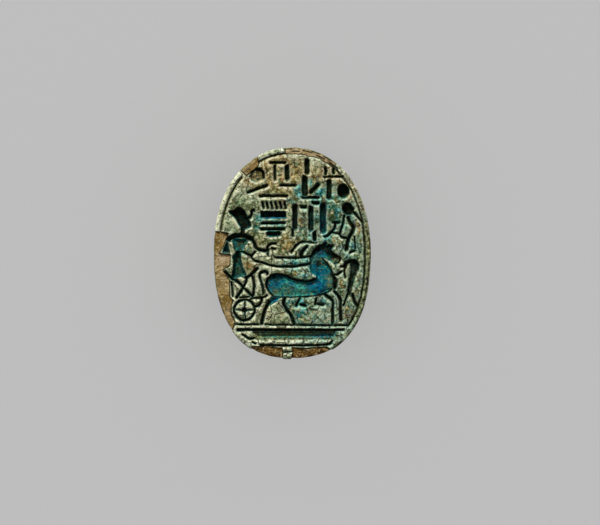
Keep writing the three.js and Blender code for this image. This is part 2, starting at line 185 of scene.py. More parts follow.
# ---------- the carver's strokes ----------
class CarvedFace:
    """Depth, finish and painted light and shade of the base at each of its points, changed stroke by stroke.
    """

    MASKS = (
        "dark", "pool", "deep", "worn_and_lit", "turquoise", "warm",
        "pale", "olive", "bare", "plain", "light", "hidden",
    )
    # Width of the painted lit strip kept clear of dark along a cut's lower edge; it also scales side, which
    # marks edges painted lit or shaded.
    LIT_STRIP = 0.07
    WALL = 0.17
    REACH = 0.6
    WIDENED = 0.03

    def __init__(self, x, y):
        self.x, self.y = x, y
        self.wander_x = x + 0.05 * layered_noise(x, y, 0.6, 11)
        self.wander_y = y + 0.05 * layered_noise(x, y, 0.6, 23)
        self.depth = np.zeros_like(x)
        self.gap = np.full(x.shape, FAR)
        self.side = np.zeros_like(x)
        self.painted_lit_rim = np.zeros_like(x)
        for name in self.MASKS:
            setattr(self, name, np.zeros_like(x))

    def near(self, points, reach):
        xs, ys = zip(*points)
        close = (self.x > min(xs) - reach) & (self.x < max(xs) + reach)
        close &= (self.y > min(ys) - reach) & (self.y < max(ys) + reach)
        return np.nonzero(close)[0]

    def raise_mask(self, name, spot, values):
        layer = getattr(self, name)
        layer[spot] = np.maximum(layer[spot], values)

    def sink(self, spot, distance, below, depth, wall, dark, pool, rise=0.0):
        """Cuts down inside a distance; rise leaves a rounded body standing in a wide cut.

        Dirt and painted shade fill the cut, except for a painted lit strip along its lower edge, where the
        distance a little below is outside it.
        """
        cut = depth * smooth_step(-0.05, wall, -distance) - rise * smooth_step(0.12, 0.75, -distance)
        self.depth[spot] = np.maximum(self.depth[spot], cut)
        nearer = distance < self.gap[spot]
        # side says where a point lies from the nearest cut, for painted light: 1 below it, on the lit edge,
        # -1 above it, on the shaded edge.
        self.side[spot] = np.where(nearer, (below - distance) / self.LIT_STRIP, self.side[spot])
        self.gap[spot] = np.minimum(self.gap[spot], distance)
        # Dark in the cut is dirt and painted shade; the lower strip, facing the lamp, is left lit.
        self.raise_mask("dark", spot, dark * smooth_step(-0.02, 0.08, -np.maximum(distance, below)))
        self.raise_mask("pool", spot, pool * smooth_step(-0.06, 0.03, -distance))

    def stroke(self, points, width, end_width=None, depth=0.45, dark=0.85, pool=0.5, lip=None):
        end_width = width if end_width is None else end_width
        width, end_width = (1.12 * size + self.WIDENED for size in (width, end_width))
        widest = max(width, end_width)
        spot = self.near(points, widest + self.REACH)
        x, y = self.wander_x[spot], self.wander_y[spot]
        distance = stroke_distance(x, y, points, width, end_width)
        # Painted lit strip along the cut's lower edge: at most a quarter of the stroke's width; 0 leaves the
        # whole cut dark.
        lip = min(self.LIT_STRIP, 0.25 * widest) if lip is None else lip
        below = stroke_distance(x, y - lip, points, width, end_width)
        self.sink(spot, distance, below, depth, min(self.WALL, 0.5 * widest), dark, pool)

    def curve(self, points, *args, **values):
        self.stroke(flowing(points), *args, **values)

    def lines(self, *rows, **values):
        """Straight strokes: both ends and the width."""
        for start_x, start_y, end_x, end_y, width in rows:
            self.stroke([(start_x, start_y), (end_x, end_y)], width, **values)

    def crack(self, points, dark, width=0.06, depth=0.12):
        self.stroke(points, width, depth=depth, dark=dark, pool=0)

    def area(self, corners, depth=0.6, wall=WALL, dark=0.5, pool=0.9, rise=0.0):
        spot = self.near(corners, self.REACH)
        x, y = self.wander_x[spot], self.wander_y[spot]
        distance = area_distance(x, y, corners) - self.WIDENED
        # The distance a little below, which leaves a painted lit strip along the cut's lower edge.
        below = area_distance(x, y - self.LIT_STRIP, corners) - self.WIDENED
        self.sink(spot, distance, below, depth, wall, dark, pool, rise)

    def soft_spot(self, x, y, radius):
        """The points round a place, and how far a soft spot there reaches each of them."""
        spot = self.near([(x, y)], radius * 2)
        return spot, np.exp(-((self.x[spot] - x) ** 2 + (self.y[spot] - y) ** 2) / radius**2)

    def spots(self, name, places):
        """Soft spots of a finish: x, y, radius and amount."""
        for x, y, radius, amount in places:
            spot, fall = self.soft_spot(x, y, radius)
            self.raise_mask(name, spot, amount * fall)

    def fade(self, name, places):
        """Takes a finish away in soft spots: x, y, radius and amount."""
        for x, y, radius, amount in places:
            spot, fall = self.soft_spot(x, y, radius)
            getattr(self, name)[spot] *= 1 - amount * fall

    def band(self, name, points, width, amount=1.0, soft=0.2):
        """A finish along a line."""
        spot = self.near(points, width + 2 * soft)
        distance = stroke_distance(self.x[spot], self.y[spot], points, width, width)
        self.raise_mask(name, spot, amount * smooth_step(soft, -soft, distance))

    def chip(self, corners, depth=0.22, stain=0.0):
        """Glaze broken off down to the stone, with a ragged dark and pale outline."""
        spot = self.near(corners, self.REACH)
        x, y = self.x[spot], self.y[spot]
        ragged = 0.1 * layered_noise(x, y, 0.5, 31)
        distance = area_distance(x, y, corners) + ragged
        inside = smooth_step(-0.03, 0.08, -distance)
        floor = depth * inside * (1 + 0.45 * layered_noise(x, y, 0.8, 47))
        self.depth[spot] = self.depth[spot] * (1 - inside) + floor
        self.gap[spot] = np.where(inside > 0.5, FAR, self.gap[spot])
        for name in ("dark", "pool", "olive", "pale", "warm"):
            getattr(self, name)[spot] *= 1 - inside
        self.raise_mask("bare", spot, inside)
        self.raise_mask("warm", spot, stain * inside)
        # A dark ring just inside the break: the stone's dark edge and painted shadow at the foot of the glaze
        # step.
        self.raise_mask("dark", spot, 0.7 * np.exp(-(((distance + 0.06) / 0.06) ** 2)))
        self.raise_mask("pale", spot, 0.9 * np.exp(-(((distance - 0.1) / 0.08) ** 2)))

    def soften_edges(self):
        """Rounds the ground down towards every cut; marks worn edges with a painted highlight below each cut,
        and paints shade beside the edge above it.
        """
        glazed = 1 - self.bare
        beside = np.maximum(self.gap, 0)
        self.depth = np.maximum(self.depth, 0.085 * np.exp(-beside / 0.13) * (self.bare < 0.5))
        # Painted highlight: the worn edge is made stronger below a cut, on the side facing the lamp, and the
        # left of the rim is made pale with it.
        lit = np.clip(0.55 + 0.6 * self.side, 0.1, 1.0)
        worn_and_lit = np.exp(-(((self.gap - 0.1) / 0.09) ** 2)) * lit * glazed * (1 - 0.6 * self.olive)
        self.worn_and_lit = np.maximum(worn_and_lit, 0.8 * self.painted_lit_rim * glazed)
        # Painted shade on the ground beside the edge above a cut, put into the dark mask.
        shaded = 0.62 * np.exp(-((beside / 0.14) ** 2)) * np.clip(0.45 - 0.55 * self.side, 0, 1)
        shaded *= smooth_step(-0.06, 0.0, self.gap)
        self.dark = np.maximum(self.dark, shaded * glazed)


def border_and_ground(face):
    """The border line, the cracks of the rim, the ground line and the trough below it."""
    for start, end, width, dark in (
        (68, 20, 0.13, 0.66), (20, -52, 0.17, 0.8), (166, 124, 0.22, 0.44), (110, 93, 0.15, 0.8),
    ):
        arc = edge_arc(start, end, BORDER_INSET, 30)
        face.stroke(arc, width, depth=0.25, dark=dark, pool=0)
        face.band("olive", arc, width, 1.0, 0.05)
    for start, end, inset in ((76, 58, 0.3), (52, 14, 0.24), (-8, -34, 0.2)):
        face.crack(edge_arc(start, end, inset, 16), 0.85)
    for degrees in (62, 48, 36, 31, 150, 170):
        face.crack([edge_point(degrees, 0.1), edge_point(degrees + 1, 0.45)], 0.7, 0.05, 0.1)
    face.lines((-5.5, -6.75, -3.2, -6.8, 0.14), (-2.6, -6.8, 5.3, -6.9, 0.14), depth=0.3)
    face.stroke([(-5.2, -7.3), (-2.5, -7.3)], 0.26, 0.2)
    face.lines((-2.6, -7.3, 4.9, -7.3, 0.2))
    face.area([(-4.0, -7.4), (4.3, -7.4), (4.1, -8.22), (-3.4, -8.22)], depth=0.42, wall=0.5, dark=0, pool=0)
    for name, start, end, width, amount, soft in (
        ("pool", (-2.4, -7.84), (3.6, -7.84), 0.5, 0.72, 0.22),
        ("olive", (-3.9, -7.75), (-2.6, -7.9), 0.5, 0.6, 0.3),
        # Painted shadow: dark along the trough's upper edge, under the ground line.
        ("dark", (-3.7, -7.44), (4.0, -7.44), 0.2, 0.92, 0.1),
        ("turquoise", (-2.2, -8.14), (3.4, -8.1), 0.08, 0.35, 0.1),
        ("dark", (-3.2, -8.08), (3.6, -8.08), 0.12, 0.6, 0.13),
        ("warm", (-2.4, -7.78), (2.6, -7.78), 0.36, 0.9, 0.2),
        ("light", (-2.2, -7.84), (2.4, -7.84), 0.2, 0.7, 0.15),
        ("pale", (-2.0, -7.8), (-0.6, -7.83), 0.03, 0.7, 0.06),
        ("warm", (-2.4, -8.13), (2.8, -8.1), 0.12, 0.7, 0.1),
    ):
        face.band(name, [start, end], width, amount, soft)
    for x in (-3.95, -2.5, -0.65, 0.58, 2.1, 3.55):
        face.crack([(x, -6.85), (x + 0.04, -7.2)], 0.9)
    for x in (-1.67, -0.35, 1.1, 2.15):
        face.crack([(x + 0.05, -8.2), (x - 0.03, -8.65)], 0.9)
    face.curve([(-3.0, -8.75), (0, -8.8), (3.2, -8.72), (3.8, -8.4)], 0.18)
    face.curve([(-4.7, -7.75), (-4.1, -8.15), (-3.6, -8.05)], 0.18)
    face.lines((-3.8, -8.45, -3.5, -8.6, 0.16))


def horse(face):
    outline = flowing([
        (-2.1, -2.3), (-1.8, -2.1), (-1.2, -2.05), (-0.7, -2.15), (0, -2.45), (0.7, -2.6), (1.5, -2.7),
        (2.0, -2.6), (2.3, -2.3), (2.2, -2.05), (1.9, -1.9), (1.7, -1.5), (1.7, -0.9), (1.9, -0.1),
        (2.2, 0.35), (2.6, 0.65), (3.25, 0.95), (3.3, 0.7), (3.95, 0.7), (3.65, 0.3), (3.7, 0.05),
        (4.5, -0.45), (4.4, -0.85), (4.1, -1.0), (3.5, -0.6), (2.95, -0.35), (3.1, -0.75), (3.5, -1.2),
        (3.8, -1.7), (3.9, -2.3), (3.95, -3.0), (3.7, -3.4), (3.3, -3.7), (2.5, -3.95), (0.5, -4.1),
        (-1.2, -4.1), (-1.9, -4.0), (-2.3, -3.5), (-2.45, -3.0), (-2.35, -2.6),
    ], closed=True, steps=3)
    face.area(outline, depth=0.42, wall=0.2, dark=0.0, pool=1.0, rise=0.1)
    back = [(-1.9, -4.0), (-2.35, -3.4), (-2.42, -2.8), (-2.15, -2.3), (-1.6, -2.05), (-0.9, -2.08),
            (0, -2.42), (0.8, -2.62), (1.6, -2.68), (2.15, -2.45)]
    face.curve(back, 0.22, depth=0.5)
    face.curve([(1.75, -0.5), (1.95, 0), (2.3, 0.45), (3.2, 0.92)], 0.2, depth=0.42)
    face.curve([(3.8, 0.65), (3.6, 0.35), (3.8, 0.0), (4.5, -0.45), (4.4, -0.85), (4.05, -0.95)], 0.2,
               depth=0.45)
    face.stroke([(3.45, 0.72), (3.9, 0.74)], 0.2, 0.12)
    face.curve([(2.85, -0.4), (3.1, -0.75), (3.5, -1.2), (3.8, -1.8), (3.92, -2.6), (3.85, -3.2)], 0.13)
    # The belly lines are dark to their lower edge, with no painted lit strip.
    face.curve([(3.75, -3.3), (3.35, -3.66), (2.5, -3.98), (0.5, -4.13), (-1.2, -4.13), (-1.9, -4.05)], 0.18,
               0.1, depth=0.42, lip=0)
    face.curve([(3.5, -3.35), (2.9, -3.65), (2.2, -3.85)], 0.2, 0.1, depth=0.42, dark=0.6, lip=0)
    face.fade("pool", ((4.15, -0.4, 0.45, 0.9), (-1.6, -3.65, 0.5, 0.5), (-0.3, -3.6, 0.6, 0.45),
                       (1.2, -3.65, 0.7, 0.5), (3.5, -2.4, 0.3, 0.7), (3.45, -3.0, 0.3, 0.6),
                       (2.4, 0.0, 0.35, 0.3), (-1.2, -2.7, 0.3, 0.4), (0.4, -3.1, 0.4, 0.35)))
    face.curve([(-2.35, -2.0), (-2.4, -1.8), (-2.65, -1.75), (-3.0, -1.85), (-3.1, -2.2), (-2.95, -2.7),
                (-2.8, -3.2), (-2.75, -3.9)], 0.23)
    face.area([(-2.0, -4.15), (-1.1, -4.15), (-1.6, -4.6), (-2.3, -5.0)], depth=0.35, dark=0.2)
    face.curve([(-2.2, -4.6), (-2.5, -5.2), (-2.7, -5.8), (-2.9, -6.7)], 0.28)
    face.curve([(-0.7, -4.3), (-0.85, -4.8), (-0.5, -5.4), (-0.1, -6.0), (0.2, -6.75)], 0.28)
    face.curve([(3.1, -3.9), (3.4, -4.2), (3.85, -4.6), (3.85, -5.2), (3.85, -6.7)], 0.27)
    face.curve([(4.0, -3.6), (4.3, -4.0), (4.6, -4.5), (4.6, -5.3), (4.65, -6.4)], 0.26)
    face.curve([(3.95, -2.3), (4.15, -2.7), (4.05, -3.3)], 0.33)
    face.stroke([(0.75, -4.2), (0.4, -5.0)], 0.2, pool=0.8)
    face.stroke([(0.8, -4.9), (1.2, -5.0)], 0.2, pool=0.8)
    face.lines((2.3, -4.3, 2.2, -4.9, 0.2), (2.4, -4.85, 2.95, -4.95, 0.2))
    face.stroke([(4.0, -2.05), (4.3, -2.05), (4.7, -1.8)], 0.16)


def harness(face):
    face.curve([(-1.6, -0.4), (-0.5, -0.42), (0.5, -0.45), (1.2, -0.4), (1.8, -0.25)], 0.15)
    face.curve([(-3.6, -0.7), (-2.9, -0.9), (-2.0, -1.15), (-1.2, -1.25), (0, -1.25), (1.0, -1.15),
                (1.75, -1.0)], 0.17)
    face.curve([(-0.05, 0.15), (0.3, 0.6), (0.8, 1.0), (1.3, 1.05), (2.3, 1.0)], 0.26, 0.1)
    face.curve([(0.9, -0.4), (0.9, 0), (1.2, 0.45), (1.4, 0.65)], 0.33, 0.25)


def driver(face):
    crown = flowing([(-6.0, 3.95), (-5.6, 4.0), (-5.2, 4.32), (-4.8, 4.28), (-4.5, 4.0), (-4.3, 3.5),
                     (-4.0, 2.9), (-3.95, 2.5), (-4.3, 2.35), (-4.6, 2.25), (-4.8, 2.35), (-5.1, 2.8),
                     (-5.45, 3.4)], closed=True, steps=3)
    face.area(crown, wall=0.2, dark=0.92)
    face.lines((-4.72, 2.4, -4.72, 1.7, 0.32))
    face.curve([(-4.3, 3.35), (-4.0, 3.4), (-3.85, 3.7), (-3.85, 4.0), (-3.65, 4.1)], 0.22)
    face.curve([(-6.05, 1.35), (-5.4, 1.62), (-4.6, 1.62), (-3.85, 1.35)], 0.44)
    face.area([(-6.15, 1.35), (-5.95, 0.05), (-6.6, 0.1), (-6.5, 0.5)], depth=0.4, dark=0.5)
    face.area([(-5.75, 1.45), (-5.45, 0.3), (-4.9, 0.1), (-4.05, 1.4)], depth=0.45, dark=0.34)
    face.curve([(-4.0, 1.4), (-3.65, 1.1), (-3.45, 0.6), (-3.2, 0.35), (-2.7, 0.25), (-2.3, 0.3)], 0.3)
    face.curve([(-2.3, 0.3), (-2.35, 0.6), (-2.1, 0.85), (-1.8, 0.95), (-1.55, 0.9)], 0.18)
    face.lines((-1.9, 0.5, -1.6, 0.4, 0.16), (-2.3, 0.2, -2.3, -0.2, 0.16))
    face.curve([(-5.2, 0.15), (-4.8, 0.15), (-4.3, -0.05), (-3.95, -0.2), (-3.8, -0.5), (-3.6, -0.7)], 0.18)
    face.stroke([(-3.5, 0.15), (-3.75, -0.15), (-3.9, -0.35)], 0.18)
    kilt = flowing([(-5.3, 0.3), (-5.42, -0.05), (-5.68, -0.35), (-5.55, -0.8), (-5.62, -1.5), (-5.74, -2.4),
                    (-5.0, -2.2), (-4.4, -2.15), (-4.6, -1.6), (-4.8, -0.9), (-4.92, -0.1), (-4.95, 0.25)],
                   closed=True, steps=3)
    face.area(kilt, wall=0.24, dark=0.42)
    face.band("dark", [(-5.5, -0.2), (-5.6, -1.0), (-5.68, -2.2)], 0.1, 0.75, 0.12)
    face.band("dark", [(-5.2, 0.2), (-4.98, -0.3)], 0.3, 0.8, 0.15)


def chariot(face):
    hub_x, hub_y, radius = -4.55, -5.4, 0.98
    turn = np.linspace(0, 2 * math.pi, 40)
    face.stroke(list(zip(hub_x + radius * np.cos(turn), hub_y + radius * np.sin(turn))), 0.21)
    face.stroke([(hub_x - 0.01, hub_y), (hub_x + 0.01, hub_y)], 0.5)
    for degrees, width in ((0, 0.1), (86, 0.13), (180, 0.1), (279, 0.13)):
        angle = math.radians(degrees)
        tip = (hub_x + radius * math.cos(angle), hub_y + radius * math.sin(angle))
        face.stroke([(hub_x, hub_y), tip], 0.2, width, depth=0.25, dark=0.7)
    face.curve([(-6.35, -1.75), (-5.8, -2.35), (-5.2, -2.7), (-4.7, -3.2), (-3.8, -4.15)], 0.24)
    face.curve([(-3.3, -1.45), (-3.9, -2.05), (-4.2, -2.25), (-4.5, -2.3)], 0.22)
    face.curve([(-4.3, -2.3), (-4.4, -2.8), (-4.6, -3.15), (-5.0, -3.8), (-5.3, -4.2)], 0.25)
    face.stroke([(-5.8, -2.7), (-5.7, -3.3), (-5.65, -4.1)], 0.17)
    face.curve([(-3.8, -2.2), (-3.65, -2.7), (-3.6, -3.3), (-3.7, -4.0)], 0.23)
    face.lines((-5.0, -4.2, -4.1, -4.15, 0.12))
    face.curve([(-4.0, -4.4), (-3.8, -4.3), (-3.2, -4.25), (-2.8, -4.2), (-2.4, -4.05)], 0.17)
    face.curve([(-2.9, -4.3), (-2.95, -4.6), (-3.2, -5.0), (-3.5, -5.1)], 0.19)


def enemies(face):
    face.stroke([(5.25, 4.25), (5.35, 4.1)], 0.95, depth=0.6)
    face.curve([(5.8, 3.9), (6.2, 3.5), (6.7, 2.8)], 0.25, 0.12)
    face.curve([(4.95, 3.6), (4.75, 2.6), (4.6, 2.1), (4.55, 1.75), (4.75, 1.5), (5.2, 1.45)], 0.2)
    face.curve([(5.3, 3.4), (5.5, 2.9), (5.8, 2.4), (5.65, 1.9), (5.4, 1.5), (5.25, 0.9), (5.15, 0.35)], 0.32)
    face.stroke([(5.9, 1.6), (5.95, 1.0), (6.0, 0.4)], 0.11, dark=0.7)
    face.lines((5.5, 0.05, 6.0, 0.25, 0.17), (3.9, 2.9, 4.4, 2.9, 0.2))
    face.curve([(4.1, 2.8), (4.0, 2.3), (3.7, 2.0), (3.4, 1.7), (3.1, 1.6)], 0.22)
    face.lines((3.75, 2.0, 4.5, 1.8, 0.17))
    face.curve([(5.0, -1.3), (5.15, -0.95), (5.6, -0.75), (6.05, -0.85), (6.2, -1.2), (6.1, -1.6)], 0.36)
    face.curve([(5.8, -1.0), (5.88, -1.6), (5.75, -2.2), (5.6, -2.7), (5.5, -3.3), (5.45, -3.85)], 0.62, 0.38,
               dark=0.5)
    face.stroke([(5.05, -1.2), (4.97, -1.8), (5.05, -2.3)], 0.16)
    face.lines((4.65, -1.3, 5.0, -1.25, 0.14))
    face.stroke([(5.35, -3.8), (5.1, -4.4), (4.9, -4.95)], 0.19)
    face.stroke([(5.75, -3.9), (5.95, -4.6), (6.15, -5.0)], 0.26)


def stroke_rows(face):
    """Bars, uprights and leaning strokes in rows over the figures; they stand apart and spell nothing."""
    face.stroke([(-3.42, 7.33), (-3.2, 7.45)], 1.02, depth=0.4, dark=0.36, pool=0.25)
    # Painted shade: the curve over the disc's upper edge is dark all through, with no painted lit strip.
    face.curve([(-3.85, 7.75), (-3.5, 7.98), (-3.1, 7.98), (-2.78, 7.65), (-2.72, 7.25)], 0.24, 0.26,
               depth=0.6, dark=0.95, lip=0)
    # Painted highlight: turquoise along the disc's lower edge.
    face.band("turquoise", [(-3.7, 7.0), (-3.2, 6.9)], 0.2, 0.9, 0.2)
    face.band("warm", [(-3.5, 7.55), (-3.1, 7.6)], 0.3, 0.8, 0.2)
    face.stroke([(4.85, 6.0), (4.85, 5.8)], 1.0, depth=0.7, dark=0.7, pool=0.9)
    # Painted shade over the upper part of the pit.
    face.band("dark", [(4.7, 6.25), (5.05, 6.15)], 0.5, 0.9, 0.15)
    face.lines((-4.2, 5.75, -2.4, 6.4, 0.23), (2.45, 6.5, 1.8, 5.75, 0.33))
    for y, left, right, width, pool in (
        (8.57, -2.05, -0.7, 0.22, 0.5), (7.27, 3.05, 4.8, 0.18, 0.5), (6.45, -1.1, 0.3, 0.22, 0.5),
        (5.42, -3.05, -0.5, 0.21, 0.4), (5.3, 1.0, 2.5, 0.2, 0.9), (4.78, 2.0, 2.45, 0.28, 0.5),
        (4.4, 0.9, 1.25, 0.3, 0.5), (2.87, -2.9, -0.75, 0.2, 0.5), (2.3, -2.9, -0.75, 0.25, 0.5),
        (1.86, -2.2, -1.35, 0.46, 0.9),
    ):
        face.stroke([(left, y), (right, y)], width, pool=pool)
    for x, top, foot, width, pool in (
        (1.4, 8.75, 7.65, 0.41, 0.5), (-1.65, 8.3, 7.0, 0.24, 0.5), (-0.5, 8.2, 7.1, 0.34, 0.8),
        (3.15, 8.05, 7.55, 0.26, 0.5), (3.9, 8.0, 7.55, 0.26, 0.5), (1.2, 7.15, 5.65, 0.47, 0.7),
        (3.5, 6.85, 5.3, 0.4, 0.7), (2.92, 4.5, 2.2, 0.52, 0.95), (0.25, 4.45, 2.5, 0.44, 0.6),
        (1.75, 4.25, 2.3, 0.42, 0.7), (0.05, 2.25, 1.65, 0.26, 0.5), (2.12, 1.9, 1.3, 0.33, 0.6),
    ):
        face.stroke([(x, top), (x + 0.02, foot)], width, dark=0.55 if pool > 0.9 else 0.8, pool=pool)
    for count in range(6):
        x = -2.85 + count * 0.42
        face.stroke([(x, 4.8), (x + 0.14, 4.28)], 0.21)
    face.area([(-3.0, 3.36), (-0.6, 3.36), (-0.6, 3.98), (-3.0, 3.98)], dark=0.6)


def chips(face):
    """Glaze lost along the rim: left, upper left, top, and at the bottom beside a small bridge."""
    outside = -0.5
    face.chip([
        edge_point(164, outside), (-6.4, 2.0), (-5.85, 2.0), (-6.2, 1.5), (-6.55, 0.5), (-6.9, 0.1),
        (-5.85, -0.05), (-5.85, -1.15), (-6.0, -1.2), (-6.5, -1.6), (-6.4, -1.75), (-5.95, -2.5),
        (-5.9, -3.5), (-5.85, -4.1), (-5.6, -4.4), (-5.75, -5.3), (-5.7, -5.9), (-5.4, -6.4), (-5.6, -7.2),
        *(edge_point(degrees, outside) for degrees in (232, 218, 200, 182)),
    ])
    upper_left = [(-4.3, 7.35), (-3.75, 7.75), (-3.1, 8.4)]
    face.chip(upper_left + [edge_point(109, outside), edge_point(123, outside)])
    face.band("dark", [(-4.3, 7.4), (-3.75, 7.8), (-3.15, 8.4), edge_point(109.5, 0.05)], 0.06, 0.85, 0.07)
    rim_side = [edge_point(122, 0.5), *(edge_point(degrees, 0.05) for degrees in (122.5, 116, 110))]
    face.band("dark", rim_side, 0.05, 0.8, 0.07)
    face.band("pale", [edge_point(120, 0.3), edge_point(112, 0.3)], 0.12, 0.45, 0.2)
    face.band("dark", [edge_point(121, 0.3), edge_point(111, 0.3)], 0.3, 0.22, 0.2)
    face.chip([
        edge_point(95, outside), (-0.7, 9.4), (1.2, 9.3), (2.6, 8.95), (3.9, 8.3),
        *(edge_point(degrees, outside) for degrees in (61, 72, 84)),
    ], depth=0.15)
    face.chip([
        edge_point(247, outside), (-3.9, -8.8), (-0.9, -8.95), (-0.85, -10.5), edge_point(257, -0.6),
    ], stain=1.0)
    face.chip([
        (-0.1, -10.5), (-0.05, -8.95), (2.9, -8.9), (3.4, -8.85),
        edge_point(294, -0.4), edge_point(280, -0.6),
    ], stain=1.0)
    face.lines((-0.85, -9.4, -0.1, -9.4, 0.12), depth=0.2)
    for start, end in ((168, 232), (247, 290), (61, 95)):
        face.band("dark", edge_arc(start, end, 0.06, 24), 0.04, 0.52, 0.1)
    top_streaks = {
        "dark": (0.9, ((94, 90, 0.15), (90, 86, 0.38), (87, 83, 0.08), (84, 79, 0.27), (79, 75, 0.12),
                       (76, 71, 0.36), (72, 67, 0.16), (68, 62, 0.38))),
        "pale": (1.0, ((93, 88, 0.27), (86, 80, 0.16), (80, 75, 0.44), (77, 71, 0.24), (71, 64, 0.27),
                       (66, 61, 0.1))),
    }
    for name, (amount, streaks) in top_streaks.items():
        for start, end, inset in streaks:
            face.band(name, edge_arc(start, end, inset, 5), 0.11, amount, 0.07)
    face.band("pale", edge_arc(62, 94, 0.46, 12), 0.08, 1.0, 0.1)


def glaze_stains_and_painted_light(face):
    """Where the ground is turquoise, warm brown, pale or olive, with darker spots, two of them painted shade,
    and a painted highlight along the left of the rim.
    """
    face.spots("turquoise", (
        (-3.2, 3.3, 0.5, 1.0), (-3.3, 2.5, 0.4, 0.8), (-1.8, 3.1, 0.5, 0.9), (-1.2, 2.6, 0.5, 0.9),
        (-2.4, 3.1, 0.5, 0.8), (0.6, 6.1, 0.5, 1.0), (0.7, 5.6, 0.5, 0.9), (2.6, 5.8, 0.8, 1.0),
        (3.5, 4.7, 0.8, 0.9), (4.3, 4.0, 0.6, 0.9), (4.5, 3.1, 0.6, 0.9), (3.3, 1.5, 0.8, 0.9),
        (2.3, 5.1, 0.7, 1.0), (5.9, 0.7, 0.6, 0.8), (1.3, -0.75, 0.8, 0.8), (0.3, -1.7, 0.8, 0.7),
        (1.2, -2.0, 0.7, 0.7), (0.9, -4.7, 0.9, 1.0), (2.9, -4.6, 0.6, 0.8), (0.9, -6.0, 0.9, 0.8),
        (-0.3, -4.8, 0.6, 0.8), (3.9, -7.8, 0.5, 0.8), (-2.6, -7.7, 0.5, 0.8), (1.9, 1.7, 0.6, 0.7),
        (4.8, 0.4, 0.7, 0.7), (2.3, 3.4, 0.5, 0.7), (5.2, -0.3, 0.6, 0.6), (1.0, 2.6, 0.6, 0.6),
        (-0.2, 4.9, 0.5, 0.6), (4.9, 2.6, 0.5, 0.8), (5.9, 5.0, 0.6, 0.5), (1.1, -5.3, 0.7, 1.0),
        (3.4, 6.0, 0.9, 0.8), (1.9, 6.7, 0.6, 0.7), (0.2, -0.8, 0.6, 1.0), (-0.8, -0.85, 0.5, 0.7),
        (1.3, -0.8, 0.5, 1.0), (1.8, -1.6, 0.4, 1.0), (4.6, 5.2, 0.6, 0.9), (3.6, 5.3, 0.5, 0.9),
        (5.6, 3.4, 0.4, 0.8), (5.3, 1.0, 0.5, 0.7), (5.6, -2.9, 0.5, 0.6), (4.3, -5.3, 0.5, 0.6),
        (0.2, -3.0, 0.5, 0.5), (-4.7, 0.3, 0.5, 0.6),
    ))
    face.spots("warm", (
        (0.0, 6.0, 0.8, 0.9), (-0.7, 5.0, 0.8, 0.8), (-0.5, 0.9, 1.0, 1.0), (0.5, 8.0, 0.9, 0.8),
        (2.3, 8.3, 0.8, 0.7), (1.1, 3.4, 0.7, 0.8), (4.3, 0.9, 0.7, 0.6), (5.6, 5.2, 0.6, 0.8),
        (3.65, 3.6, 0.5, 0.8), (6.3, 2.6, 0.8, 0.9), (5.4, -5.0, 0.9, 0.9), (5.1, -5.9, 0.8, 1.0),
        (2.6, 8.2, 0.9, 1.0), (-2.2, 7.3, 0.9, 1.0), (3.0, 7.0, 0.8, 0.7), (4.8, -1.4, 0.7, 0.9),
        (4.8, -2.9, 0.6, 0.8), (-4.2, -1.1, 0.7, 0.8), (-0.9, 7.8, 0.8, 0.8), (-2.6, 7.0, 0.8, 0.7),
        (6.0, -2.0, 0.6, 0.6), (3.0, -5.6, 0.8, 0.5), (4.5, -0.2, 0.6, 0.9), (-3.2, 0.9, 0.8, 0.5),
        (0.3, -2.1, 0.4, 0.5), (5.9, -3.6, 0.6, 0.7), (-2.0, -5.6, 1.0, 0.3), (-1.6, -3.7, 0.5, 0.8),
        (-0.4, -3.5, 0.6, 0.5), (0.9, -3.6, 0.6, 0.3), (3.5, -2.3, 0.35, 0.9), (3.55, -3.0, 0.35, 0.9),
        (2.4, -0.6, 0.5, 0.4), (4.2, -0.5, 0.4, 1.0), (-5.1, -1.7, 0.5, 0.7), (-5.25, -0.6, 0.4, 0.6),
        (-5.0, 0.9, 0.5, 0.7),
    ))
    face.spots("deep", (
        (2.6, -3.1, 0.6, 1.0), (1.8, -3.0, 0.5, 0.8), (2.7, -1.9, 0.5, 0.7), (3.2, -2.6, 0.35, 0.6),
        (-1.5, -2.9, 0.6, 0.8), (-2.0, -3.3, 0.4, 0.6), (0.0, -3.0, 0.5, 0.6), (2.9, 3.0, 0.6, 1.0),
        (2.9, 0.2, 0.5, 0.7), (-1.6, -4.4, 0.4, 0.8), (2.6, -7.7, 0.8, 0.6), (-1.8, 3.5, 1.0, 0.8),
        (0.2, 3.0, 0.3, 0.8), (2.2, -1.3, 0.4, 0.7), (2.3, 3.2, 0.5, 1.0), (3.7, 3.3, 0.8, 1.0),
        (3.8, 4.7, 0.7, 1.0), (4.9, 2.2, 0.4, 0.5), (-1.2, 0.7, 0.6, 0.45), (5.6, 1.4, 0.5, 0.5),
    ))
    face.spots("light", (
        (0.8, -3.6, 0.9, 1.0), (-0.2, -3.1, 0.6, 1.0), (-1.2, -3.5, 0.6, 0.9), (1.6, -7.75, 1.2, 0.5),
        (-1.2, -7.75, 0.9, 0.6), (3.2, -2.5, 0.4, 0.5), (1.2, -3.1, 0.4, 0.5),
    ))
